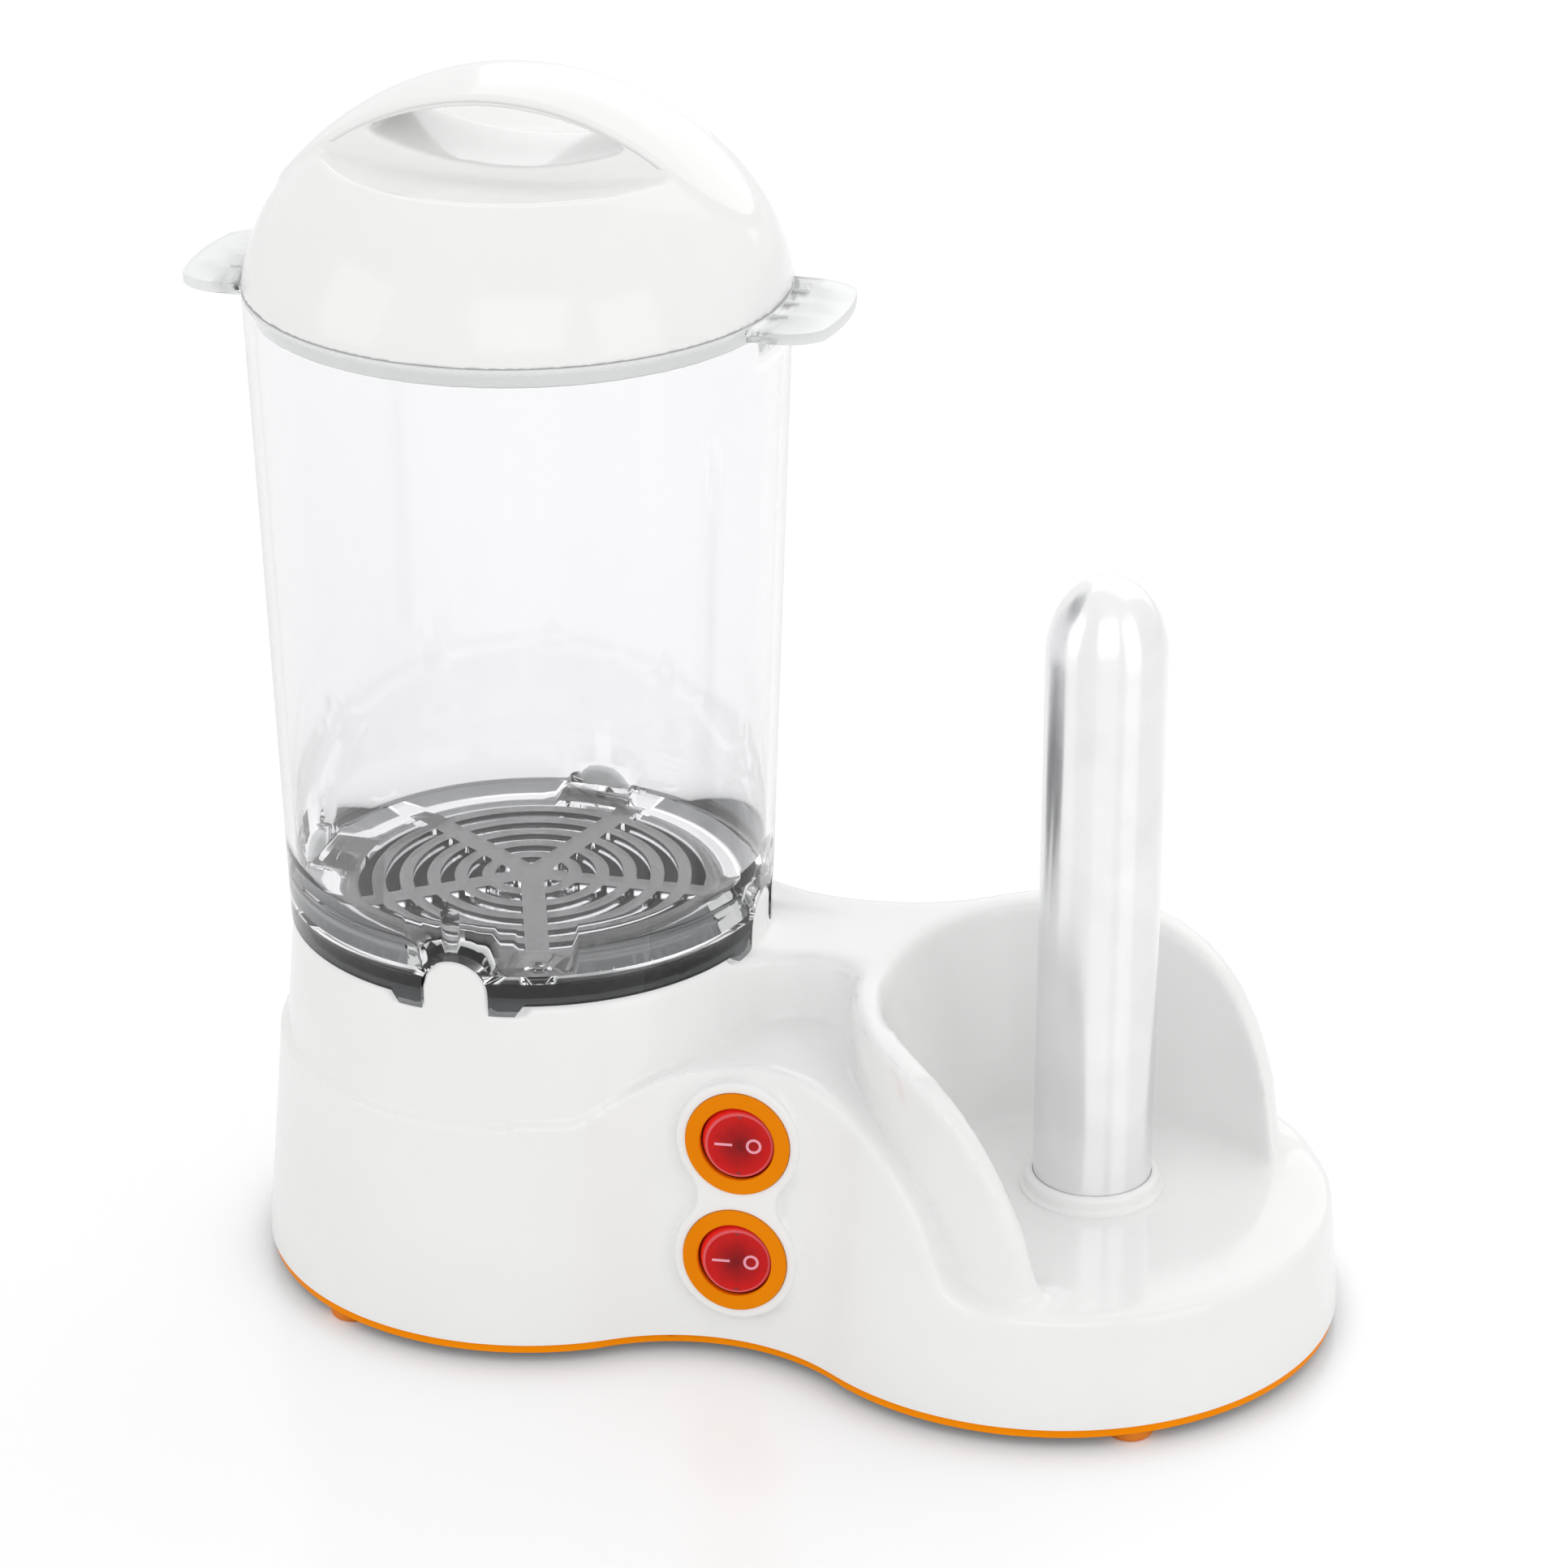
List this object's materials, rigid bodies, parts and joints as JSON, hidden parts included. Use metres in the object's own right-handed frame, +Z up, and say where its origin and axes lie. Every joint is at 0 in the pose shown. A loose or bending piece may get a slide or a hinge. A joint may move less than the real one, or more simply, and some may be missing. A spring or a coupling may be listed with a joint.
{
  "type": "hot dog steamer",
  "caption": "Table hot dog steamer: white two-lobed base, clear lift-off container with domed lid, heated bun spike in a curved wall, and red rocker switches on the waist.",
  "frame": {"origin": "centre of the footprint, on the surface the feet stand on", "axes": "+Z up, the switch panel faces -Y, the spike is at +X"},
  "size_m": [0.2722, 0.136, 0.2911],
  "materials": {
    "moulded_white": "smooth moulded gloss",
    "moulded_orange": "smooth moulded gloss",
    "orange_foot": "matt rubber",
    "clear_plastic": "clear polished moulding",
    "coated_dark": "dark non-stick coating",
    "silicone": "pale silicone",
    "spike_metal": "polished",
    "sheet_steel": "plain sheet and screw steel",
    "heater_alloy": "satin",
    "black_plastic": "fine matt",
    "red_clear": "translucent gloss",
    "lamp_glass": "clear amber",
    "brass": "plain",
    "ceramic": "unglazed",
    "pale_plastic": "matt"
  },
  "bodies": {
    "base": {"base_shell": "moulded_white", "base_plate": "moulded_orange", "feet": "orange_foot", "base_screws": "sheet_steel", "heater_dish": "coated_dark", "dish_seal": "silicone", "dish_ring": "sheet_steel", "ring_heater": "heater_alloy", "thermostat": "black_plastic", "thermal_fuse": "heater_alloy", "spike": "spike_metal", "spike_collar": "moulded_white", "spike_clamp": "sheet_steel", "clamp_screws": "sheet_steel", "spike_heater": "ceramic", "upper_bezel": "moulded_orange", "upper_switch_body": "black_plastic", "upper_switch_lamp": "lamp_glass", "upper_switch_blades": "brass", "lower_bezel": "moulded_orange", "lower_switch_body": "black_plastic", "lower_switch_lamp": "lamp_glass", "lower_switch_blades": "brass", "terminal_block": "pale_plastic", "cord_gland": "black_plastic"},
    "container": {"container": "clear_plastic"},
    "lid": {"lid": "moulded_white"},
    "upper_rocker": {"upper_rocker": "red_clear"},
    "lower_rocker": {"lower_rocker": "red_clear"}
  },
  "joints": [
    {"name": "container_lift", "type": "slide", "parent": "base", "child": "container", "axis": [0, 0, 1], "range_m": [0, 0.12]},
    {"name": "lid_lift", "type": "slide", "parent": "container", "child": "lid", "axis": [0, 0, 1], "range_m": [0, 0.08]},
    {"name": "upper_rocker_tilt", "type": "hinge", "parent": "base", "child": "upper_rocker", "pos_m": [0.00446, -0.0426, 0.05624], "axis": [0, -0.0872, -0.9962], "range_deg": [0, 16]},
    {"name": "lower_rocker_tilt", "type": "hinge", "parent": "base", "child": "lower_rocker", "pos_m": [0.00446, -0.04514, 0.02724], "axis": [0, -0.0872, -0.9962], "range_deg": [0, 16]}
  ]
}
